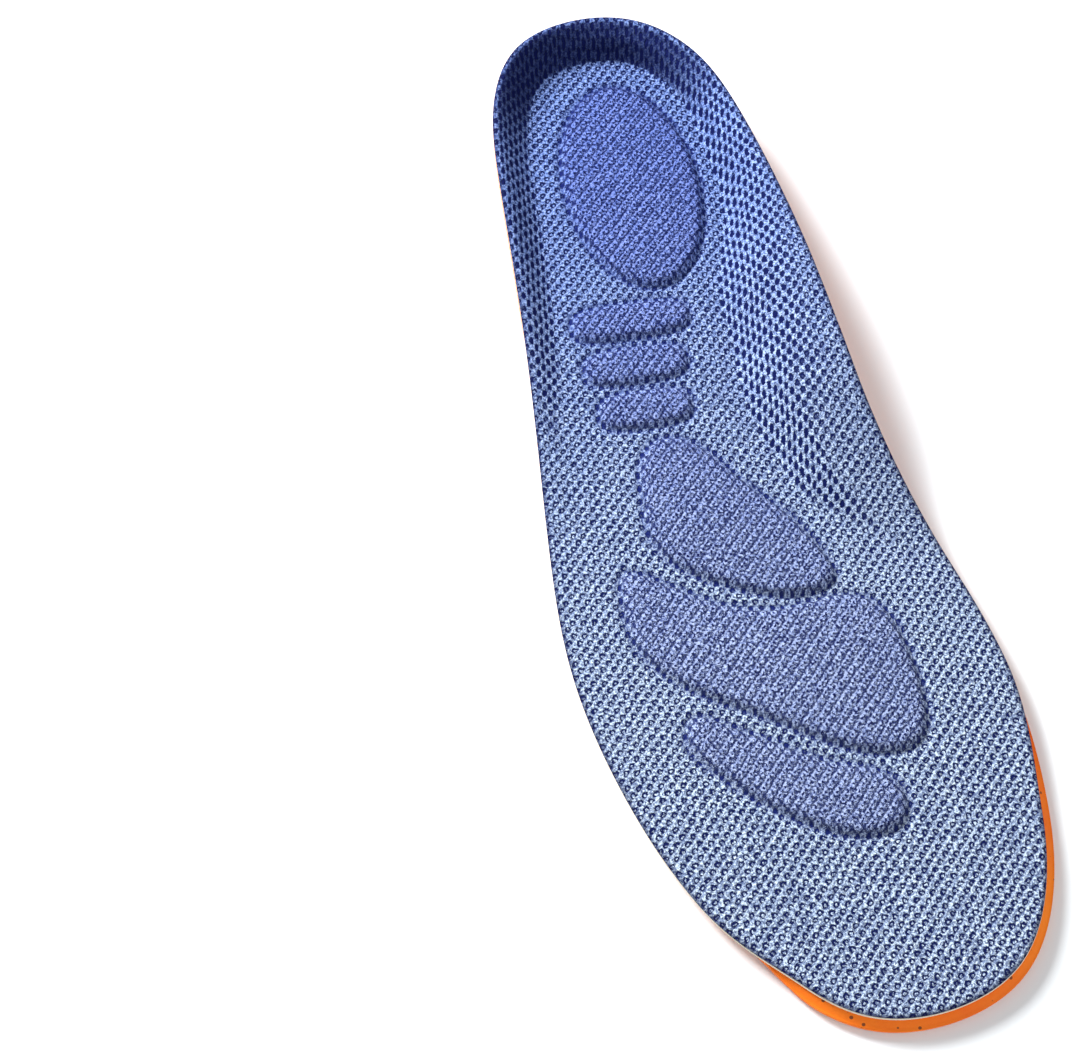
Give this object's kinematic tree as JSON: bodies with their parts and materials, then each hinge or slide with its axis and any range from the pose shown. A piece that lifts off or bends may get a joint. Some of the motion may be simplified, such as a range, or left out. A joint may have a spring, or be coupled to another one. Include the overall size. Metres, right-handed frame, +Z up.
{
  "type": "cushioned insole",
  "caption": "Shoe insole with a heel cup and arch support, a moulded foam base, raised foam cushions under heel, arch, ball and toes, and a knitted mesh cover.",
  "frame": {"origin": "on the ground, under the middle of the insole's outline", "axes": "+Z up, +Y towards the heel, -Y towards the toes, +X towards the arch (inner) side of a right foot"},
  "size_m": [0.1021, 0.2801, 0.0216],
  "materials": {
    "base_foam": "matte moulded polyurethane foam, orange with dark recycled specks",
    "comfort_foam": "pale thin foam sheet, matte",
    "cushion_foam": "pale dense foam, matte",
    "cover_mesh": "blue knitted air mesh with small eyelets over navy"
  },
  "bodies": {
    "root": {"base_foam": "base_foam", "comfort_foam": "comfort_foam", "heel_cushion": "cushion_foam", "midfoot_bar_rear": "cushion_foam", "midfoot_bar_middle": "cushion_foam", "midfoot_bar_front": "cushion_foam", "metatarsal_cushion": "cushion_foam", "ball_cushion": "cushion_foam", "toe_cushion": "cushion_foam", "top_cover": "cover_mesh"}
  },
  "joints": []
}
